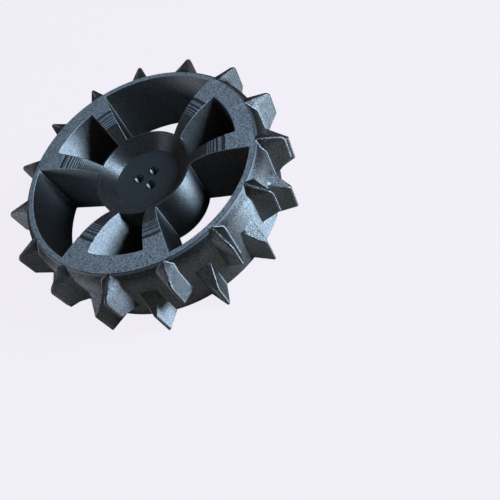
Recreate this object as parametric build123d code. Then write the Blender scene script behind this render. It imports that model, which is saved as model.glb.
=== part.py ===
from build123d import *
from math import radians, sin, cos, sqrt
import os

os.makedirs("parts", exist_ok=True)

# A one-piece printed drive wheel with two rows of pointed cleats.
# It lies on its back face: the axis is Z, the back face is Z = 0 and the
# dished front face looks up. Sizes are in millimetres and degrees.

# Overall sizes
wheel_width = 51.0
tip_radius = 101.0
tread_radius = 88.2

# Front edge of the tread: a narrow bevel, then a round shoulder
front_edge_radius = 82.5
bevel_run = 1.4
bevel_drop = 1.2
shoulder_depth = 10.0
back_bevel = 0.6

# Bowl turned into the front, from the rim face down to the flat floor
bowl_start_radius = 65.0
floor_radius = 24.0
floor_depth = 18.5

# Rim, hub and the six spokes in three pairs
hub_radius = 35.0
thin_rim_inner_radius = 79.0
thick_rim_inner_radius = 70.0
pair_count = 3
pocket_half_angle = 16.0
opening_half_angle = 32.0
hub_land_drop = 0.5
hub_land_width = 1.6

# Three fixing holes, set 30 degrees round from the middle of a pocket
hole_count = 3
hole_radius = 3.5
hole_circle_diameter = 14.0
hole_turn = 30.0
hole_mouth_bevel = 0.7

# Cleats: two rows of wedges, the back row set half a pitch round
cleats_per_row = 15
crest_half_width = 0.45
crest_bevel = 0.55
cleat_base_half_width = 5.6
ramp_radius = 97.0
ramp_drop = 2.5
crest_start_depth = 7.0
crest_curve_flats = 4
front_crest_end_depth = 23.4
back_crest_start_depth = 29.2
end_slant = 10.7
root_radius = 81.2

# Values that follow from the sizes above
past = 5.0
pair_pitch = 360.0 / pair_count
cleat_pitch = 360.0 / cleats_per_row
floor_height = wheel_width - floor_depth
bowl_run = bowl_start_radius - floor_radius
bowl_arc_radius = (bowl_run ** 2 + floor_depth ** 2) / (2.0 * floor_depth)
hub_run = bowl_start_radius - hub_radius
hub_edge_height = wheel_width - bowl_arc_radius + sqrt(bowl_arc_radius ** 2 - hub_run ** 2)
crest_height = tip_radius - tread_radius
flank_spread = cleat_base_half_width - crest_half_width - crest_bevel
flank_slope = flank_spread / (crest_height - crest_bevel)


def side_face(edges):
    # A flat face in the plane through the axis, from a closed chain of edges
    return make_face(Wire(edges))


def at(radius, height, across=0.0):
    return Vector(radius, across, height)


def turned_body():
    # Full section: tread, shoulder, rim face, bowl and floor
    shoulder_start = at(tread_radius, wheel_width - shoulder_depth)
    bevel_end = at(front_edge_radius + bevel_run, wheel_width - bevel_drop)
    rim_edge = at(front_edge_radius, wheel_width)
    bowl_start = at(bowl_start_radius, wheel_width)
    floor_edge = at(floor_radius, floor_height)
    edges = [
        Line(at(0, 0), at(tread_radius - back_bevel, 0)),
        Line(at(tread_radius - back_bevel, 0), at(tread_radius, back_bevel)),
        Line(at(tread_radius, back_bevel), shoulder_start),
        TangentArc(shoulder_start, bevel_end, tangent=(0, 0, 1)),
        Line(bevel_end, rim_edge),
        Line(rim_edge, bowl_start),
        TangentArc(bowl_start, floor_edge, tangent=(-1, 0, 0)),
        Line(floor_edge, at(0, floor_height)),
        Line(at(0, floor_height), at(0, 0)),
    ]
    return revolve(side_face(edges), axis=Axis.Z, revolution_arc=360)


def ring_sector(inner, outer, low, high, half_angle):
    # A block between two radii and two heights, centred on the X axis
    edges = [
        Line(at(inner, low), at(outer, low)),
        Line(at(outer, low), at(outer, high)),
        Line(at(outer, high), at(inner, high)),
        Line(at(inner, high), at(inner, low)),
    ]
    block = revolve(side_face(edges), axis=Axis.Z, revolution_arc=2 * half_angle)
    return block.rotate(Axis.Z, -half_angle)


def opening(outer, half_angle):
    # The gap right through the wheel, with a narrow land on the hub's top edge
    low = -past
    high = wheel_width + past
    gap = ring_sector(hub_radius, outer, low, high, half_angle)
    land_inner = hub_radius - hub_land_width
    land_height = hub_edge_height - hub_land_drop
    land = ring_sector(land_inner, hub_radius + past, land_height, high, half_angle)
    return gap + land


def fixing_hole():
    # A straight hole through the hub with a small bevel at its mouth
    mouth = hole_radius + hole_mouth_bevel
    edges = [
        Line(at(0, -past), at(hole_radius, -past)),
        Line(at(hole_radius, -past), at(hole_radius, floor_height - hole_mouth_bevel)),
        Line(at(hole_radius, floor_height - hole_mouth_bevel), at(mouth, floor_height)),
        Line(at(mouth, floor_height), at(mouth, floor_height + past)),
        Line(at(mouth, floor_height + past), at(0, floor_height + past)),
        Line(at(0, floor_height + past), at(0, -past)),
    ]
    return revolve(side_face(edges), axis=Axis.Z, revolution_arc=360)


def wedge(profile_edges):
    # The crest line of the profile is carried down both flanks, so that every
    # cut across the axis is the same triangle with a narrow bevelled top
    profile = side_face(profile_edges)
    reach = (crest_height + past) * sqrt(1.0 + flank_slope ** 2)
    solid = extrude(profile, amount=crest_half_width, both=True)
    for side in (1, -1):
        top = profile.translate((0, side * crest_half_width, 0))
        low = top.translate((-crest_bevel, side * crest_bevel, 0))
        solid = solid + extrude(top, amount=crest_bevel * sqrt(2), dir=(-1, side, 0))
        solid = solid + extrude(low, amount=reach, dir=(-1, side * flank_slope, 0))
    return solid - Cylinder(root_radius, 4 * wheel_width)


def front_cleat():
    start = at(front_edge_radius, wheel_width)
    ramp_end = at(ramp_radius, wheel_width - ramp_drop)
    crest_start = at(tip_radius, wheel_width - crest_start_depth)
    low = wheel_width - front_crest_end_depth - end_slant - past
    inner = front_edge_radius - past
    edges = [
        Line(at(inner, wheel_width), start),
        Line(start, ramp_end),
        Line(crest_start, at(tip_radius, low)),
        Line(at(tip_radius, low), at(inner, low)),
        Line(at(inner, low), at(inner, wheel_width)),
    ]
    # The crest rounds over the front on an arc, taken in short flats so that
    # the flanks under it are flat too
    curve = TangentArc(crest_start, ramp_end, tangent=(0, 0, 1))
    for step in range(crest_curve_flats):
        near = curve @ (step / crest_curve_flats)
        far = curve @ ((step + 1) / crest_curve_flats)
        edges.append(Line(near, far))
    crest_end = at(tip_radius, wheel_width - front_crest_end_depth)
    rear = Plane(origin=crest_end, z_dir=(-end_slant, 0, crest_height))
    return split(wedge(edges), bisect_by=rear, keep=Keep.TOP)


def back_cleat():
    high = wheel_width - back_crest_start_depth + end_slant + past
    inner = front_edge_radius - past
    edges = [
        Line(at(inner, 0), at(tip_radius, 0)),
        Line(at(tip_radius, 0), at(tip_radius, high)),
        Line(at(tip_radius, high), at(inner, high)),
        Line(at(inner, high), at(inner, 0)),
    ]
    crest_end = at(tip_radius, wheel_width - back_crest_start_depth)
    front = Plane(origin=crest_end, z_dir=(end_slant, 0, crest_height))
    return split(wedge(edges), bisect_by=front, keep=Keep.BOTTOM)


wheel = turned_body()

# Pockets between the spokes of a pair, and wide openings between the pairs
pocket = opening(thick_rim_inner_radius, pocket_half_angle)
wide = opening(thin_rim_inner_radius, opening_half_angle)
for index in range(pair_count):
    turn = index * pair_pitch
    wheel = wheel - pocket.rotate(Axis.Z, turn)
    wheel = wheel - wide.rotate(Axis.Z, turn + pair_pitch / 2)

# Fixing holes
for index in range(hole_count):
    angle = radians(hole_turn + index * 360.0 / hole_count)
    spot = (hole_circle_diameter / 2 * cos(angle), hole_circle_diameter / 2 * sin(angle), 0)
    wheel = wheel - fixing_hole().translate(spot)

# Two rows of cleats
front = front_cleat()
back = back_cleat()
cleats = []
for index in range(cleats_per_row):
    cleats.append(front.rotate(Axis.Z, index * cleat_pitch))
    cleats.append(back.rotate(Axis.Z, (index + 0.5) * cleat_pitch))
wheel = wheel.fuse(*cleats).clean()

box = wheel.bounding_box()
print("solids", len(wheel.solids()), "valid", wheel.is_valid, "volume cm3", wheel.volume / 1000)
print("box", box.min, box.max)
export_step(wheel, "parts/wheel.step")
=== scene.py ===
from math import atan2, cos, degrees, hypot, pi, radians, sin, sqrt

import bmesh
import bpy
from mathutils import Matrix, Vector
from mathutils.geometry import delaunay_2d_cdt


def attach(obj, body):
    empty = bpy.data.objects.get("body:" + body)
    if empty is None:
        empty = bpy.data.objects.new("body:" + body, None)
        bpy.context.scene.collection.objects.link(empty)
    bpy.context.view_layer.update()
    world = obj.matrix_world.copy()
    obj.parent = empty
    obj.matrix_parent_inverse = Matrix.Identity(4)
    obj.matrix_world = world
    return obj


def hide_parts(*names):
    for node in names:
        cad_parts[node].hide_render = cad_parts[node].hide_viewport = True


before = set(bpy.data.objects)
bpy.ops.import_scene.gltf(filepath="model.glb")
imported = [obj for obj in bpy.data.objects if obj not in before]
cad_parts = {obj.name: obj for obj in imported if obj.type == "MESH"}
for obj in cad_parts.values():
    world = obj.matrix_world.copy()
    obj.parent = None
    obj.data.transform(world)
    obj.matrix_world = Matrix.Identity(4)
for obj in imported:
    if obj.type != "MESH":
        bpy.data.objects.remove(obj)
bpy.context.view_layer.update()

# A one-piece printed drive wheel. Its spokes show the printed layers as steps,
# its corners are a little hollow and its edges a little round. Sizes here are
# in millimetres and degrees, and the meshes are turned to metres at the end.
MM = 0.001

# Overall sizes
wheel_width = 51.0
tip_radius = 101.0
tread_radius = 88.2

# Front edge of the tread
front_edge_radius = 82.5
bevel_run = 1.4
bevel_drop = 1.2
shoulder_depth = 10.0
back_bevel = 0.6

# Bowl, hub, rim and openings
bowl_start_radius = 65.0
floor_radius = 24.0
floor_depth = 18.5
hub_radius = 35.0
thin_rim_inner_radius = 79.0
thick_rim_inner_radius = 70.0
sector_count = 3
pocket_half_angle = 16.0
opening_half_angle = 32.0
hub_land_drop = 0.5
hub_land_width = 1.6
edge_bevel = 0.35
land_bevel = 0.25
corner_reach = 0.8
corner_parts = 4

# Fixing holes
hole_count = 3
hole_radius = 3.5
hole_circle_diameter = 14.0
hole_turn = 30.0
hole_mouth_bevel = 0.35
hole_sides = 40

# Cleats
cleats_per_row = 15
crest_half_width = 0.45
crest_bevel = 0.55
cleat_base_half_width = 5.6
ramp_radius = 97.0
ramp_drop = 2.5
crest_start_depth = 7.0
front_crest_end_depth = 23.4
back_crest_start_depth = 29.2
end_slant = 10.7
corner_bevel = 0.4
fillet_reach = 0.65
fillet_share = 0.45
lip_width = 0.45
lip_share = 0.5
lowest_cleat = 0.7
lowest_cut = 0.02
shortest_flank = 0.01
flank_parts = 4
fillet_parts = 3
tread_parts = 6
bare_spacing = 0.25
# The rounded top of a crest, as (below the crest, across)
crest_nose = ((0.0, 0.0), (0.07, 0.40), (0.31, 0.75), (0.60, 1.018))

# Depths at which the tread is drawn: close together on the ramp, on the curve
# and at the slanted ends, and far apart where the cleats run straight
ramp_spacing = 0.25
ramp_rows = 11
curve_depths = [3.0, 3.5, 4.0, 4.5, 5.0, 5.5, 6.0, 6.5, crest_start_depth, 7.6, 8.4, 9.2, shoulder_depth]
front_depths = [12.0, 14.0, 16.0]
back_depths = [36.0, 38.5, 41.0, 43.5, 46.0, 48.5]
slant_rows = 18
crest_end_gap = 0.15
slant_end_gap = 0.02

# Printed layers
layer_height = 0.44
first_step_depth = 0.05
step_bevel = 0.12
wide_step_bevel = 0.26
wide_step_run = 1.0
shaded_share = 0.48
bowl_smooth_radius = 49.0
spoke_parts = 5
gap_spacing = 2.0

# Distances for joining what touches, and the angle past which an edge is sharp
slack = 0.001
seam_reach = 0.01
sliver = 0.002
outline_weld = 1e-5
sharp_angle = 28.0

# Values that follow
pair_pitch = 360.0 / sector_count
cleat_pitch = 360.0 / cleats_per_row
crest_height = tip_radius - tread_radius
flank_spread = cleat_base_half_width - crest_half_width - crest_bevel
flank_slope = flank_spread / (crest_height - crest_bevel)
bowl_run = bowl_start_radius - floor_radius
bowl_arc_radius = (bowl_run ** 2 + floor_depth ** 2) / (2 * floor_depth)
floor_height = wheel_width - floor_depth
spoke_width = pair_pitch / 2 - opening_half_angle - pocket_half_angle
land_radius = hub_radius - hub_land_width

# Places of the finishes in their list
WALL, SKIN, STEP, STEP_SHADE, BACK, FLOOR, EDGE, TREAD, RIDGE, BOWL, SEAM, LINE = range(12)


def arc_to_vertical(radius_gap, depth_gap):
    # Radius of the arc that turns upright over the two gaps
    return (radius_gap ** 2 + depth_gap ** 2) / (2 * radius_gap)


def tread_at(depth):
    # Radius of the bare tread at a depth below the front face
    if depth < bevel_drop:
        return front_edge_radius + bevel_run * depth / bevel_drop
    if depth < shoulder_depth:
        gap = tread_radius - front_edge_radius - bevel_run
        bend = arc_to_vertical(gap, shoulder_depth - bevel_drop)
        return tread_radius - bend + sqrt(bend ** 2 - (shoulder_depth - depth) ** 2)
    return tread_radius - max(0.0, depth - wheel_width + back_bevel)


def front_crest_at(depth):
    # Radius of a front cleat's crest line, before its rear end is cut
    if depth < ramp_drop:
        return front_edge_radius + (ramp_radius - front_edge_radius) * depth / ramp_drop
    if depth < crest_start_depth:
        bend = arc_to_vertical(tip_radius - ramp_radius, crest_start_depth - ramp_drop)
        return tip_radius - bend + sqrt(bend ** 2 - (crest_start_depth - depth) ** 2)
    return tip_radius


def bowl_radius_at(depth):
    # Radius at which the bowl's arc has come down to a depth
    return bowl_start_radius - sqrt(2 * bowl_arc_radius * depth - depth ** 2)


def bowl_depth_at(radius):
    run = bowl_start_radius - radius
    return bowl_arc_radius - sqrt(bowl_arc_radius ** 2 - run ** 2)


# Tread and cleats


def cleat_columns(crest, cut, tread):
    # Half the outline of one cleat at one height, from the middle of its crest
    # down its flank to the tread, as (along the radius, across)
    nose_height, nose_half_width = crest_nose[-1]
    if cut < tread + lowest_cut or crest < tread + lowest_cleat:
        # No cleat here, but the same number of points on the bare tread
        across = [y for _, y in crest_nose]
        if cut < tread + lowest_cut:
            across = [y * cleat_base_half_width / nose_half_width for y in across]
        across += [across[-1] + bare_spacing * (i + 1) for i in range(flank_parts + fillet_parts)]
        return [(sqrt(tread ** 2 - y ** 2), y) for y in across]
    edge = crest_half_width + crest_bevel
    top = crest - crest_bevel
    # Where the flank line y = edge + (top - x) * slope meets the tread's circle
    a = 1 + flank_slope ** 2
    k = edge + top * flank_slope
    b = -2 * k * flank_slope
    c = k ** 2 - tread ** 2
    base_x = (-b + sqrt(b * b - 4 * a * c)) / (2 * a)
    base = (base_x, k - flank_slope * base_x)
    if cut < crest - nose_height:
        # The flat slanted end, with a small bevel to the flank
        flat = k - flank_slope * cut - corner_bevel
        low = max(base_x, cut - corner_bevel)
        points = [(cut, 0.0), (cut, flat / 2), (cut, flat), (low, k - flank_slope * low)]
    else:
        points = [(crest - x, y) for x, y in crest_nose]
    start = Vector(points[-1])
    base = Vector(base)
    run = base - start
    back_off = min(fillet_reach, fillet_share * run.length)
    foot = base - run.normalized() * back_off
    lip = min(lip_width / max(run.length, shortest_flank), lip_share)
    for i in range(flank_parts):
        points.append(tuple(start.lerp(foot, lip + (1 - lip) * i / (flank_parts - 1))))
    # A small hollow fillet runs the flank out into the tread
    end_y = base.y + back_off
    end = Vector((sqrt(tread ** 2 - end_y ** 2), end_y))
    for i in range(1, fillet_parts + 1):
        t = i / fillet_parts
        points.append(tuple(foot.lerp(base, t).lerp(base.lerp(end, t), t)))
    return points


def segment_row(depth, tread, front_crest):
    # One height of a 24 degree piece of tread, front cleat in its middle and
    # half a back cleat at each end, as (radius, angle)
    front_cut = tip_radius - crest_height * max(0.0, depth - front_crest_end_depth) / end_slant
    back_cut = tip_radius - crest_height * max(0.0, back_crest_start_depth - depth) / end_slant
    front = [(max(hypot(x, y), tread), atan2(y, x))
             for x, y in cleat_columns(front_crest, front_cut, tread)]
    back = [(max(hypot(x, y), tread), atan2(y, x))
            for x, y in cleat_columns(tip_radius, back_cut, tread)]
    half = radians(cleat_pitch / 2)
    row = list(front)
    low = front[-1][1]
    high = half - back[-1][1]
    for i in range(1, tread_parts):
        row.append((tread, low + (high - low) * i / tread_parts))
    row += [(r, half - a) for r, a in reversed(back)]
    return [(r, -a) for r, a in reversed(row[1:])] + row


def segment_rows():
    # All heights from the front face to the back, as (depth, row)
    depths = [i * ramp_spacing for i in range(ramp_rows)] + [bevel_drop]
    depths += curve_depths + front_depths
    back_base = back_crest_start_depth - end_slant
    front_base = front_crest_end_depth + end_slant
    depths += [back_base + (front_base - back_base) * i / slant_rows for i in range(slant_rows + 1)]
    depths += [back_base + slant_end_gap, front_base - slant_end_gap]
    depths += [front_crest_end_depth, front_crest_end_depth + crest_end_gap]
    depths += [back_crest_start_depth, back_crest_start_depth - crest_end_gap]
    depths += back_depths + [wheel_width - back_bevel, wheel_width]
    return [(d, segment_row(d, tread_at(d), front_crest_at(d))) for d in sorted(depths)]


def polar(radius, angle, height):
    return Vector((radius * cos(angle), radius * sin(angle), height))


def segment_mesh(rows):
    # The 24 degree piece of tread, each strip with its finish
    bm = bmesh.new()
    grid = []
    for depth, row in rows:
        grid.append([bm.verts.new(polar(r, a, wheel_width - depth)) for r, a in row])
    middle = len(grid[0]) // 2
    # Strips from the middle of the crest outward: its flat top and two bevels,
    # a lip at the head of the flank, the flank, and the fillet at its foot
    lip_strip = 3
    fillet_strips = tuple(lip_strip + flank_parts + i for i in range(fillet_parts))
    for i, (upper, lower) in enumerate(zip(grid, grid[1:])):
        front_whole = rows[i + 1][0] <= front_crest_end_depth
        back_whole = rows[i][0] >= back_crest_start_depth
        for j in range(len(upper) - 1):
            # Strips counted from the middle of the front cleat's crest
            k = j - middle if j >= middle else middle - 1 - j
            from_back = middle - 1 - k
            front_foot = rows[i + 1][0] < front_crest_end_depth + end_slant and k in fillet_strips
            back_foot = rows[i][0] > back_crest_start_depth - end_slant and from_back in fillet_strips
            lip = (front_whole and k == lip_strip) or (back_whole and from_back == lip_strip)
            face = bm.faces.new((upper[j], lower[j], lower[j + 1], upper[j + 1]))
            face.material_index = EDGE if front_foot or back_foot else TREAD
            if lip and (rows[i][0] >= crest_start_depth or i % 2):
                # The lip gets a pale line of painted highlight; on the ramp the layers' ends break it into
                # dots
                face.material_index = RIDGE
            if rows[i + 1][0] <= bevel_drop and k > fillet_strips[-1]:
                # Between the cleats a dark seam of painted shade runs round the rim face, with one smooth
                # dim bead beyond it
                face.material_index = FLOOR if i else SEAM
    return bm


# The bowl's steps on the spokes and hub


def step_profile():
    # The stepped section from the rim face down to the bowl's floor, as
    # (radius, height, finish of the strip that follows)
    levels = int(floor_depth / layer_height)
    marks = []
    for k in range(levels):
        top = wheel_width - k * layer_height
        low = wheel_width - (k + 1) * layer_height
        if k == levels - 1:
            low = floor_height
        riser = bowl_radius_at(first_step_depth + k * layer_height)
        following = bowl_radius_at(first_step_depth + (k + 1) * layer_height)
        wide = riser - following > wide_step_run and k < levels - 1
        bevel = wide_step_bevel if wide else step_bevel
        # Wide steps: a pale line of painted highlight on the bevel, then painted shade down the riser and
        # over the outer part of the step below
        marks.append((riser + bevel, top, LINE if wide else STEP))
        marks.append((riser, top - bevel, STEP_SHADE if wide else STEP))
        marks.append((riser, low, STEP_SHADE if wide else STEP))
        if wide:
            marks.append((riser - shaded_share * (riser - following), low, STEP))
    marks = [(r, h, BOWL if r < bowl_smooth_radius else f) for r, h, f in marks]
    # Marks of their own where the hub's edge and its land cross the steps
    for ring in (hub_radius, land_radius):
        for i in range(len(marks) - 1):
            if marks[i][0] > ring > marks[i + 1][0]:
                t = (marks[i][0] - ring) / (marks[i][0] - marks[i + 1][0])
                height = marks[i][1] + (marks[i + 1][1] - marks[i][1]) * t
                marks.insert(i + 1, (ring, height, marks[i][2]))
                break
    return marks


profile = step_profile()
face_radius = profile[0][0]
land_height = wheel_width - bowl_depth_at(hub_radius) - hub_land_drop


def spoke_angles(low, high, radius):
    # Angles across a spoke: its wall, the inner line of its bevel, and between
    inset = degrees(edge_bevel / radius)
    inner = [low + inset + (high - low - 2 * inset) * i / spoke_parts for i in range(spoke_parts + 1)]
    return [low] + inner + [high]


def gap_angles(low, high):
    # Even angles across an opening
    count = int(round((high - low) / gap_spacing))
    return [low + (high - low) * i / count for i in range(count + 1)]


def rim_edge_angles(low, high, outer):
    # The same on the rim face, where the spokes' bevels widen the opening
    corner = degrees(edge_bevel / (outer + edge_bevel))
    return [low - corner] + gap_angles(low, high)[1:-1] + [high + corner]


def hub_angles(low, high):
    # The same on the hub, with the ends of the hollow corners put in
    inset = degrees(corner_reach / hub_radius)
    return [low, low + inset] + gap_angles(low, high)[1:-1] + [high - inset, high]


def opening_corners(low, high, outer):
    # The small hollow curves in the corners of an opening, in plan, each from
    # the spoke's wall: two at the rim and two at the hub
    curves = []
    for ring, reach in ((outer, -corner_reach), (hub_radius, corner_reach)):
        for angle, side in ((low, 1), (high, -1)):
            start = polar(ring + reach, radians(angle), 0)
            corner = polar(ring, radians(angle), 0)
            end = polar(ring, radians(angle) + side * corner_reach / ring, 0)
            shares = [i / corner_parts for i in range(corner_parts + 1)]
            curves.append([start.lerp(corner, t).lerp(corner.lerp(end, t), t) for t in shares])
    return curves


# The openings and spokes of one sector, each as (from angle, to angle, outer
# radius of the opening or 0 for a spoke)
wide_start = pocket_half_angle + spoke_width
wide_end = pair_pitch - wide_start
sector_parts = (
    (-pocket_half_angle, pocket_half_angle, thick_rim_inner_radius),
    (pocket_half_angle, wide_start, 0),
    (wide_start, wide_end, thin_rim_inner_radius),
    (wide_end, pair_pitch - pocket_half_angle, 0),
)


def by_pocket(angle):
    # True for a wall of a pocket, false for one of a wide opening
    return min(abs(angle), abs(angle - pair_pitch)) < pocket_half_angle + slack


def edge_finish(angle):
    # Only the edges of the wide openings get a pale line of painted highlight
    return STEP if by_pocket(angle) else RIDGE


def sector_mesh():
    # A third of the hub, spokes and rim walls, without its flat faces
    bm = bmesh.new()

    def vert(radius, angle, height):
        return bm.verts.new(polar(radius, radians(angle), height))

    def quad(*corners, finish=WALL):
        face = bm.faces.new(corners)
        face.material_index = finish

    def strip(first, second, finish=WALL):
        for a, b, c, d in zip(first, second, second[1:], first[1:]):
            quad(a, b, c, d, finish=finish)

    def spoke(low, high):
        # Stepped top, bevels and two side walls
        rings = []
        for radius, height, _ in profile:
            ring = []
            for angle in spoke_angles(low, high, radius):
                on_wall = angle in (low, high)
                drop = edge_bevel if on_wall and radius > hub_radius + slack else 0.0
                ring.append(vert(radius, angle, height - drop))
            rings.append(ring)
        for i in range(len(rings) - 1):
            top = profile[i][2]
            on_hub = profile[i][0] < hub_radius + slack
            strip(rings[i][1:-1], rings[i + 1][1:-1], finish=top)
            strip(rings[i][:2], rings[i + 1][:2], finish=top if on_hub else edge_finish(low))
            strip(rings[i][-2:], rings[i + 1][-2:], finish=top if on_hub else edge_finish(high))
        side_wall(rings, 0, low, 1)
        side_wall(rings, -1, high, -1)

    def side_wall(rings, column, angle, side):
        # One side of a spoke, from the ends of its rings
        rim = thick_rim_inner_radius if by_pocket(angle) else thin_rim_inner_radius
        # The flat bevel beside the rim face, out to the rim's wall
        outer_low = vert(rim - corner_reach, angle, wheel_width - edge_bevel)
        corner = rim + edge_bevel
        outer_top = vert(corner, angle + side * degrees(edge_bevel / corner), wheel_width)
        inner_top = rings[0][1 if side > 0 else -2]
        face = [outer_low, rings[0][column], inner_top, outer_top]
        quad(*face[::side], finish=edge_finish(angle))
        # The wall below it in one face
        wall = [outer_low]
        wall += [ring[column] for ring, m in zip(rings, profile) if m[0] >= hub_radius - slack]
        land_low = vert(hub_radius, angle, land_height - land_bevel)
        wall.append(land_low)
        wall.append(vert(hub_radius + corner_reach, angle, land_height - land_bevel))
        wall.append(vert(hub_radius + corner_reach, angle, 0))
        wall.append(vert(rim - corner_reach, angle, 0))
        quad(*wall[::-side])
        # The small wall above the hub's land
        small = [ring[column] for ring, m in zip(rings, profile)
                 if land_radius - slack <= m[0] <= hub_radius + slack]
        small.append(vert(land_radius, angle, land_height))
        small.append(vert(hub_radius - land_bevel, angle, land_height))
        small.append(land_low)
        quad(*small[::-side])

    def opening(low, high, outer):
        # Rim wall, hub wall, the hub's land and the bowl
        angles = gap_angles(low, high)
        inset = degrees(corner_reach / outer)
        wall = [low + inset] + angles[1:-1] + [high - inset]
        low_ring = [vert(outer, a, 0) for a in wall]
        top_ring = [vert(outer, a, wheel_width - edge_bevel) for a in wall]
        strip(low_ring, top_ring)
        face_ring = [vert(outer + edge_bevel, a, wheel_width) for a in rim_edge_angles(low, high, outer)]
        strip(top_ring, face_ring, finish=edge_finish(low))
        bowl = [m for m in profile if m[0] <= land_radius]
        land = [(hub_radius, 0, WALL), (hub_radius, land_height - land_bevel, WALL),
                (hub_radius - land_bevel, land_height, FLOOR), (land_radius, land_height, WALL)]
        rings = [[vert(r, a, h) for a in hub_angles(low, high)] for r, h, _ in land + bowl]
        strip(rings[0][1:-1], rings[1][1:-1])
        for mark, upper, lower in list(zip(land + bowl, rings, rings[1:]))[1:]:
            strip(upper, lower, finish=mark[2])
        # The hollow corners, each closed above by a fan of small faces
        tops = (wheel_width - edge_bevel, wheel_width - edge_bevel) + 2 * (land_height - land_bevel,)
        peaks = (face_ring[0], face_ring[-1], rings[1][0], rings[1][-1])
        for curve, top, peak in zip(opening_corners(low, high, outer), tops, peaks):
            lower = [bm.verts.new((p.x, p.y, 0)) for p in curve]
            upper = [bm.verts.new((p.x, p.y, top)) for p in curve]
            strip(lower, upper, finish=EDGE)
            for a, b in zip(upper, upper[1:]):
                quad(a, b, peak, finish=EDGE)

    for low, high, outer in sector_parts:
        if outer:
            opening(low, high, outer)
        else:
            spoke(low, high)
    return bm


# Flat faces


def circle(radius, count, centre):
    turns = [2 * pi * i / count for i in range(count)]
    return [(centre[0] + radius * cos(a), centre[1] + radius * sin(a)) for a in turns]


def flat_face(bm, height, outer, holes, up, finish):
    # A flat face with holes, filled with triangles that keep to its outlines
    loops = [outer] + holes
    points = []
    edges = []
    for loop in loops:
        start = len(points)
        points += [Vector(p) for p in loop]
        edges += [(start + i, start + (i + 1) % len(loop)) for i in range(len(loop))]
    made = delaunay_2d_cdt(points, edges, [], 0, outline_weld)
    verts = [bm.verts.new((p.x, p.y, height)) for p in made[0]]

    def inside(x, y, loop):
        hit = False
        for (x0, y0), (x1, y1) in zip(loop, loop[1:] + loop[:1]):
            if (y0 > y) != (y1 > y) and x < x0 + (y - y0) * (x1 - x0) / (y1 - y0):
                hit = not hit
        return hit

    for tri in made[2]:
        x = sum(made[0][i].x for i in tri) / 3
        y = sum(made[0][i].y for i in tri) / 3
        if not inside(x, y, outer) or any(inside(x, y, h) for h in holes):
            continue
        a, b, c = (made[0][i] for i in tri)
        upward = (b.x - a.x) * (c.y - a.y) - (b.y - a.y) * (c.x - a.x) > 0
        order = tri if upward == up else tuple(reversed(tri))
        face = bm.faces.new([verts[i] for i in order])
        face.material_index = finish


def tread_outline(row):
    # One row of the tread taken all the way round
    points = []
    for index in range(cleats_per_row):
        turn = radians(index * cleat_pitch)
        points += [(r * cos(a + turn), r * sin(a + turn)) for r, a in row[:-1]]
    return points


def rim_inner_outline():
    # The inner edge of the flat rim face: round each opening and across each
    # spoke where its first step begins
    points = []
    for index in range(sector_count):
        turn = index * pair_pitch
        for low, high, outer in sector_parts:
            if outer:
                row = [(outer + edge_bevel, a) for a in rim_edge_angles(low, high, outer)]
            else:
                row = [(face_radius, a) for a in spoke_angles(low, high, face_radius)[1:-1]]
            points += [(r * cos(radians(a + turn)), r * sin(radians(a + turn))) for r, a in row]
    return points


def opening_outlines():
    # The openings as the back face shows them, with their hollow corners
    outlines = []
    for index in range(sector_count):
        turn = Matrix.Rotation(radians(index * pair_pitch), 3, "Z")
        for low, high, outer in sector_parts:
            if outer:
                inner = gap_angles(low, high)[1:-1]
                rim_low, rim_high, hub_low, hub_high = opening_corners(low, high, outer)
                points = rim_low + [polar(outer, radians(a), 0) for a in inner] + rim_high[::-1]
                points += hub_high + [polar(hub_radius, radians(a), 0) for a in reversed(inner)]
                points += hub_low[::-1]
                outlines.append([tuple((turn @ p).xy) for p in points])
    return outlines


def floor_outline():
    # The edge of the bowl's floor
    radius = profile[-1][0]
    points = []
    for index in range(sector_count):
        turn = index * pair_pitch
        for low, high, outer in sector_parts:
            angles = hub_angles(low, high) if outer else spoke_angles(low, high, radius)
            points += [(radius * cos(radians(a + turn)), radius * sin(radians(a + turn)))
                       for a in angles[:-1]]
    return points


def hole_centres():
    centres = []
    for index in range(hole_count):
        angle = radians(hole_turn + index * 360.0 / hole_count)
        centres.append((hole_circle_diameter / 2 * cos(angle), hole_circle_diameter / 2 * sin(angle)))
    return centres


def faces_mesh(rows):
    # Rim face, bowl floor, back face and the three fixing holes
    bm = bmesh.new()
    centres = hole_centres()
    mouths = [circle(hole_radius + hole_mouth_bevel, hole_sides, c) for c in centres]
    ends = [circle(hole_radius, hole_sides, c) for c in centres]
    flat_face(bm, wheel_width, tread_outline(rows[0][1]), [rim_inner_outline()], True, SKIN)
    flat_face(bm, floor_height, floor_outline(), mouths, True, FLOOR)
    flat_face(bm, 0.0, tread_outline(rows[-1][1]), opening_outlines() + ends, False, BACK)
    for centre in centres:
        levels = ((hole_radius + hole_mouth_bevel, floor_height),
                  (hole_radius, floor_height - hole_mouth_bevel), (hole_radius, 0.0))
        rings = []
        for radius, height in levels:
            rings.append([bm.verts.new((x, y, height)) for x, y in circle(radius, hole_sides, centre)])
        # The mouths get a black line of painted shade, the walls the glossy corner finish
        for upper, lower, finish in zip(rings, rings[1:], (SEAM, EDGE)):
            for i in range(hole_sides):
                j = (i + 1) % hole_sides
                bm.faces.new((upper[i], upper[j], lower[j], lower[i])).material_index = finish
    return bm


# Turned copies, as a node tree


def add_node(tree, kind, inputs=None, **settings):
    # Adds a node, sets its settings, and sets or links its inputs
    node = tree.nodes.new(kind)
    for name, value in settings.items():
        setattr(node, name, value)
    for key, value in (inputs or {}).items():
        if isinstance(value, bpy.types.NodeSocket):
            tree.links.new(value, node.inputs[key])
        else:
            node.inputs[key].default_value = value
    return node


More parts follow.
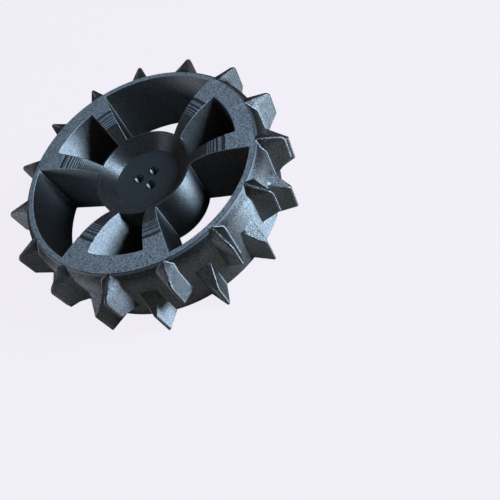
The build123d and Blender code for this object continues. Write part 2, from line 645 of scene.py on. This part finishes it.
def turned_copies_tree():
    # Turns a mesh round the wheel's axis and joins the copies at their seams
    tree = bpy.data.node_groups.new("turned_copies", "GeometryNodeTree")
    face = tree.interface
    face.new_socket("Geometry", in_out="INPUT", socket_type="NodeSocketGeometry")
    copies = face.new_socket("Copies", in_out="INPUT", socket_type="NodeSocketInt")
    seam = face.new_socket("Seam distance", in_out="INPUT", socket_type="NodeSocketFloat")
    side = face.new_socket("Side material", in_out="INPUT", socket_type="NodeSocketMaterial")
    face.new_socket("Geometry", in_out="OUTPUT", socket_type="NodeSocketGeometry")
    start = add_node(tree, "NodeGroupInput")
    points = add_node(tree, "GeometryNodeMeshLine", {
        "Count": start.outputs["Copies"], "Offset": (0, 0, 0)})
    index = add_node(tree, "GeometryNodeInputIndex")
    share = add_node(tree, "ShaderNodeMath", {0: index.outputs[0], 1: start.outputs["Copies"]},
                     operation="DIVIDE")
    angle = add_node(tree, "ShaderNodeMath", {0: share.outputs[0], 1: 2 * pi}, operation="MULTIPLY")
    turn = add_node(tree, "ShaderNodeCombineXYZ", {"Z": angle.outputs[0]})
    placed = add_node(tree, "GeometryNodeInstanceOnPoints", {
        "Points": points.outputs[0], "Instance": start.outputs["Geometry"], "Rotation": turn.outputs[0]})
    real = add_node(tree, "GeometryNodeRealizeInstances", {0: placed.outputs[0]})
    merged = add_node(tree, "GeometryNodeMergeByDistance", {
        "Geometry": real.outputs[0], "Distance": start.outputs["Seam distance"]})
    # The side finish goes on all that has no finish of its own
    number = add_node(tree, "GeometryNodeInputMaterialIndex")
    plain = add_node(tree, "FunctionNodeCompare", {2: number.outputs[0], 3: WALL},
                     data_type="INT", operation="EQUAL")
    dressed = add_node(tree, "GeometryNodeSetMaterial", {
        "Geometry": merged.outputs[0], "Selection": plain.outputs[0],
        "Material": start.outputs["Side material"]})
    end = add_node(tree, "NodeGroupOutput")
    tree.links.new(dressed.outputs[0], end.inputs[0])
    return tree, copies.identifier, seam.identifier, side.identifier


def turned(name, bm, count, materials):
    # A plain mesh of the turned copies
    mesh = bpy.data.meshes.new(name)
    bm.to_mesh(mesh)
    bm.free()
    for material in materials:
        mesh.materials.append(material)
    obj = bpy.data.objects.new(name, mesh)
    bpy.context.scene.collection.objects.link(obj)
    modifier = obj.modifiers.new("turned", "NODES")
    modifier.node_group = copies_tree
    modifier[copies_socket] = count
    modifier[seam_socket] = seam_reach
    modifier[side_socket] = materials[WALL]
    bpy.context.view_layer.update()
    evaluated = obj.evaluated_get(bpy.context.evaluated_depsgraph_get())
    result = bpy.data.meshes.new_from_object(evaluated)
    bpy.data.objects.remove(obj)
    return result


# Materials


def linear(code):
    # An sRGB hex colour as linear light
    values = [int(code[i:i + 2], 16) / 255 for i in (1, 3, 5)]
    return tuple(v / 12.92 if v <= 0.04045 else ((v + 0.055) / 1.055) ** 2.4 for v in values) + (1.0,)


# Matched to the object: its pigment makes it shinier than clear plastic, and
# the gloss is a little blue
plastic_ior = 1.8
sheen_tint = "#f3f9fd"
line_mm = 0.88
shoulder_fade_mm = 2.2
# A wave texture of scale 1 has this many radians to the metre
wave_radians = 20.0


def printed(name, dark, light, gloss, roughness, grain_mm, grain_height_mm, line_height_mm=0.0, brushed=0.0,
            slope_gloss=1.0):
    # Black printed plastic. Every grain has its own shade, from dark to light,
    # and its own gloss, so that lit faces glitter. The real grain is under
    # 0.1 mm and the real layers 0.44 mm, too fine to show at this distance, so
    # both are drawn coarser. Layer lines run round the walls, and brushed
    # spreads the gloss up and down, as the layers' round edges do
    material = bpy.data.materials.new(name)
    material.use_nodes = True
    tree = material.node_tree
    tree.nodes.clear()
    place = add_node(tree, "ShaderNodeTexCoord").outputs["Object"]
    grain = add_node(tree, "ShaderNodeTexVoronoi", {"Vector": place, "Scale": 1.0 / (grain_mm * MM)})
    split = add_node(tree, "ShaderNodeSeparateColor", {"Color": grain.outputs["Color"]})
    shade = add_node(tree, "ShaderNodeMix", {
        "Factor": split.outputs[0], 6: linear(dark), 7: linear(light)}, data_type="RGBA")
    level = add_node(tree, "ShaderNodeMapRange", {
        "Value": split.outputs[1], "To Min": gloss[0], "To Max": gloss[1]})
    if slope_gloss < 1.0:
        # The round shoulder, nearer the axis than the tread, shows less of the
        # layers' shiny ends
        flat = add_node(tree, "ShaderNodeVectorMath", {0: place, 1: (1.0, 1.0, 0.0)},
                        operation="MULTIPLY")
        radius = add_node(tree, "ShaderNodeVectorMath", {0: flat.outputs[0]}, operation="LENGTH")
        fade = add_node(tree, "ShaderNodeMapRange", {
            "Value": radius.outputs["Value"], "From Min": (tread_radius - shoulder_fade_mm) * MM,
            "From Max": tread_radius * MM, "To Min": slope_gloss, "To Max": 1.0})
        level = add_node(tree, "ShaderNodeMath", {0: level.outputs[0], 1: fade.outputs[0]},
                         operation="MULTIPLY")
    bump = add_node(tree, "ShaderNodeBump", {
        "Height": grain.outputs["Distance"], "Strength": 1.0, "Distance": grain_height_mm * MM})
    normal = bump
    if line_height_mm:
        lines = add_node(tree, "ShaderNodeTexWave", {
            "Vector": place, "Scale": 2 * pi / (wave_radians * line_mm * MM)}, bands_direction="Z")
        normal = add_node(tree, "ShaderNodeBump", {
            "Height": lines.outputs[0], "Strength": 1.0, "Distance": line_height_mm * MM,
            "Normal": bump.outputs[0]})
    shader = add_node(tree, "ShaderNodeBsdfPrincipled", {
        "Base Color": shade.outputs[2], "Roughness": roughness, "IOR": plastic_ior,
        "Specular IOR Level": level.outputs[0], "Specular Tint": linear(sheen_tint),
        "Anisotropic": brushed, "Normal": normal.outputs[0]})
    if brushed:
        upright = add_node(tree, "ShaderNodeCombineXYZ", {"Z": 1.0})
        tree.links.new(upright.outputs[0], shader.inputs["Tangent"])
    add_node(tree, "ShaderNodeOutputMaterial", {"Surface": shader.outputs[0]})
    return material


finishes = [
    # Side walls: the beads' round edges draw the light out into tall soft sheens
    printed("Black PLA, fused filament, side layers", "#08090b", "#101214", gloss=(0.85, 1.65),
            roughness=0.52, grain_mm=0.72, grain_height_mm=0.09, line_height_mm=0.02, brushed=0.95),
    # Rim face: crossing beads of the top skin glitter in a fine grey speckle; the speckle's tones vary at
    # random, and their grey, lighter than the walls' black, is painted glitter
    printed("Black PLA, fused filament, textured top skin", "#0e1216", "#7a848d", gloss=(0.4, 2.0),
            roughness=0.62, grain_mm=0.64, grain_height_mm=0.18),
    # Spoke tops: satin grey between the lines of the steps; the grey, lighter than the walls' black, is
    # painted sheen
    printed("Black PLA, fused filament, stepped slope with painted sheen", "#22282c", "#616b74", gloss=(0.7, 1.3),
            roughness=0.56, grain_mm=0.75, grain_height_mm=0.06, brushed=0.4),
    # The foot of each wide step: painted shade, a dark line where little light gets in
    printed("Black PLA, fused filament, step foot with painted shade", "#0b0d0f", "#1c2024", gloss=(0.3, 0.8),
            roughness=0.56, grain_mm=0.75, grain_height_mm=0.03, brushed=0.5),
    # Back face: smooth from the print bed, so it looks flat and a little shiny
    printed("Black PLA, fused filament, first layer", "#14181b", "#22272b", gloss=(0.4, 0.7),
            roughness=0.42, grain_mm=1.1, grain_height_mm=0.03),
    # Bowl floor and the hub's land: an even, dim grey without speckle
    printed("Black PLA, fused filament, smooth top skin", "#14191d", "#20262b", gloss=(0.5, 0.7),
            roughness=0.55, grain_mm=0.7, grain_height_mm=0.02),
    # Hollow corners, cleats' feet and the holes' walls: thin bright streaks
    printed("Black PLA, fused filament, rounded corner bead", "#0a0c0e", "#131619", gloss=(1.2, 1.9),
            roughness=0.50, grain_mm=0.7, grain_height_mm=0.03, brushed=0.95),
    # Tread and cleats: near black in shade, a sharp glitter where the light falls
    printed("Black PLA, fused filament, tread layers", "#060707", "#0f1010", gloss=(0.7, 2.0),
            roughness=0.54, grain_mm=0.62, grain_height_mm=0.08, line_height_mm=0.05, brushed=0.9,
            slope_gloss=0.5),
    # Cleats' lips and the wide openings' edges: a thin pale line of painted highlight, in shade too
    printed("Black PLA, fused filament, edge bead with painted highlight", "#20252a", "#626c74", gloss=(0.8, 1.6),
            roughness=0.55, grain_mm=0.7, grain_height_mm=0.03),
    # Bowl wall: deep black with one soft highlight on its left
    printed("Black PLA, fused filament, fine slope layers", "#030404", "#070809", gloss=(0.8, 1.35),
            roughness=0.42, grain_mm=0.7, grain_height_mm=0.05, brushed=0.88),
    # The seam round the rim and the holes' mouths: a black line of painted shade
    printed("Black PLA, fused filament, bead seam with painted shade", "#020203", "#050506", gloss=(0.02, 0.1),
            roughness=0.7, grain_mm=0.7, grain_height_mm=0.02),
    # The edge of each step: a fine grey line of painted highlight, no brighter where the light falls
    printed("Black PLA, fused filament, step edge with painted highlight", "#3a4248", "#626b73", gloss=(0.3, 0.6),
            roughness=0.6, grain_mm=0.7, grain_height_mm=0.03),
]

# The wheel
copies_tree, copies_socket, seam_socket, side_socket = turned_copies_tree()

rows = segment_rows()
tread_part = turned("tread_part", segment_mesh(rows), cleats_per_row, finishes)
spoke_part = turned("spoke_part", sector_mesh(), sector_count, finishes)

whole = faces_mesh(rows)
whole.from_mesh(tread_part)
whole.from_mesh(spoke_part)
bmesh.ops.remove_doubles(whole, verts=whole.verts, dist=seam_reach)
bmesh.ops.dissolve_degenerate(whole, edges=whole.edges, dist=sliver)
bmesh.ops.recalc_face_normals(whole, faces=whole.faces)
open_edges = sum(1 for e in whole.edges if len(e.link_faces) != 2)
print("wheel mesh: vertices", len(whole.verts), "edges not between two faces", open_edges)
for v in whole.verts:
    v.co *= MM
mesh = bpy.data.meshes.new("wheel_print")
whole.to_mesh(mesh)
whole.free()
for material in finishes:
    mesh.materials.append(material)
for polygon in mesh.polygons:
    polygon.use_smooth = True
mesh.set_sharp_from_angle(angle=radians(sharp_angle))
print("triangles", sum(len(p.vertices) - 2 for p in mesh.polygons))
wheel = bpy.data.objects.new("wheel_print", mesh)
bpy.context.scene.collection.objects.link(wheel)
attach(wheel, "root")
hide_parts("wheel")

# Floor, with its sizes in metres
floor_size = 6.0
floor_gap = 0.0002
shadow_reach = 0.15
glow_reach = 1.5
camera_glow = 0.9
pale = linear("#f9f6ff")
corners = [(x * floor_size, y * floor_size, 0) for x, y in ((-1, -1), (1, -1), (1, 1), (-1, 1))]
floor_mesh = bpy.data.meshes.new("floor")
floor_mesh.from_pydata(corners, [], [(0, 1, 2, 3)])
floor = bpy.data.objects.new("floor", floor_mesh)
floor.location = (0, 0, -floor_gap)
bpy.context.scene.collection.objects.link(floor)
floor_material = bpy.data.materials.new("pale paper floor")
floor_material.use_nodes = True
tree = floor_material.node_tree
tree.nodes.clear()
# The paper glows for the camera. Reflections see the glow too, away from the
# wheel; close to it they see the paper as it is lit, with the wheel's shadow
path = add_node(tree, "ShaderNodeLightPath")
place = add_node(tree, "ShaderNodeTexCoord").outputs["Object"]
distance = add_node(tree, "ShaderNodeVectorMath", {0: place}, operation="LENGTH")
away = add_node(tree, "ShaderNodeMapRange", {
    "Value": distance.outputs["Value"], "From Min": shadow_reach, "From Max": glow_reach},
    interpolation_type="SMOOTHSTEP")
mirrored = add_node(tree, "ShaderNodeMath", {
    0: path.outputs["Is Glossy Ray"], 1: path.outputs["Is Transmission Ray"]}, operation="MAXIMUM")
mirrored = add_node(tree, "ShaderNodeMath", {0: mirrored.outputs[0], 1: away.outputs[0]},
                    operation="MULTIPLY")
seen = add_node(tree, "ShaderNodeMath", {
    0: path.outputs["Is Camera Ray"], 1: mirrored.outputs[0]}, operation="MAXIMUM")
glow_share = add_node(tree, "ShaderNodeMath", {0: seen.outputs[0], 1: camera_glow},
                      operation="MULTIPLY")
paper = add_node(tree, "ShaderNodeBsdfDiffuse", {"Color": linear("#a89888")})
glow = add_node(tree, "ShaderNodeEmission", {"Color": pale, "Strength": 1.0})
mixed = add_node(tree, "ShaderNodeMixShader", {
    0: glow_share.outputs[0], 1: paper.outputs[0], 2: glow.outputs[0]})
add_node(tree, "ShaderNodeOutputMaterial", {"Surface": mixed.outputs[0]})
floor_mesh.materials.append(floor_material)

# Light


def softbox(name, azimuth, elevation, distance, width, height, power, colour):
    # A soft oval lamp that looks at the middle of the wheel, in metres and watts
    lamp = bpy.data.lights.new(name, "AREA")
    lamp.shape = "ELLIPSE"
    lamp.size = width
    lamp.size_y = height
    lamp.energy = power
    lamp.color = linear(colour)[:3]
    obj = bpy.data.objects.new(name, lamp)
    a = radians(azimuth)
    e = radians(elevation)
    away = Vector((cos(e) * cos(a), cos(e) * sin(a), sin(e)))
    obj.location = away * distance + Vector((0, 0, wheel_width * MM / 2))
    obj.rotation_euler = (-away).to_track_quat("-Z", "Y").to_euler()
    bpy.context.scene.collection.objects.link(obj)


softbox("key_softbox", azimuth=95, elevation=29, distance=2.4, width=0.6, height=1.25,
        power=122.0, colour="#cbe3fa")
softbox("fill_softbox", azimuth=301, elevation=13, distance=0.7, width=0.4, height=0.22,
        power=1.25, colour="#e8efff")

room_light = 0.035
mirrored_backdrop = 0.04

world = bpy.data.worlds.new("studio")
world.use_nodes = True
bpy.context.scene.world = world
tree = world.node_tree
tree.nodes.clear()
# The backdrop beyond the floor is pale for the camera, and dim in reflections
path = add_node(tree, "ShaderNodeLightPath")
mirrored = add_node(tree, "ShaderNodeMath", {
    0: path.outputs["Is Glossy Ray"], 1: path.outputs["Is Transmission Ray"]}, operation="MAXIMUM")
mirrored = add_node(tree, "ShaderNodeMath", {0: mirrored.outputs[0], 1: mirrored_backdrop},
                    operation="MULTIPLY")
seen = add_node(tree, "ShaderNodeMath", {
    0: path.outputs["Is Camera Ray"], 1: mirrored.outputs[0]}, operation="MAXIMUM")
backdrop = add_node(tree, "ShaderNodeBackground", {"Color": pale, "Strength": 1.0})
room = add_node(tree, "ShaderNodeBackground", {"Color": linear("#fff4e6"), "Strength": room_light})
both = add_node(tree, "ShaderNodeMixShader", {
    0: seen.outputs[0], 1: room.outputs[0], 2: backdrop.outputs[0]})
add_node(tree, "ShaderNodeOutputWorld", {"Surface": both.outputs[0]})

# Camera, at the place it had over the wheel. The wheel lies towards the upper
# left of the picture, which the two shifts allow for
image_side = 500.0
focal_px = 544.12
centre_x = 221.98
centre_y = 217.21
sensor_mm = 36.0
camera_place = (0.210389, 0.172824, 0.304485)
right_axis = Vector((-0.11827, 0.94131, -0.31614)).normalized()
back_axis = Vector((0.50804, 0.33091, 0.79523)).normalized()
up_axis = back_axis.cross(right_axis).normalized()
camera_data = bpy.data.cameras.new("camera")
camera_data.sensor_fit = "AUTO"
camera_data.sensor_width = sensor_mm
camera_data.lens = focal_px * sensor_mm / image_side
camera_data.shift_x = (image_side / 2 - centre_x) / image_side
camera_data.shift_y = (centre_y - image_side / 2) / image_side
camera = bpy.data.objects.new("camera", camera_data)
turn = Matrix((right_axis, up_axis, back_axis)).transposed()
camera.matrix_world = Matrix.Translation(camera_place) @ turn.to_4x4()
bpy.context.scene.collection.objects.link(camera)
bpy.context.scene.camera = camera
bpy.context.scene.view_settings.view_transform = "Standard"
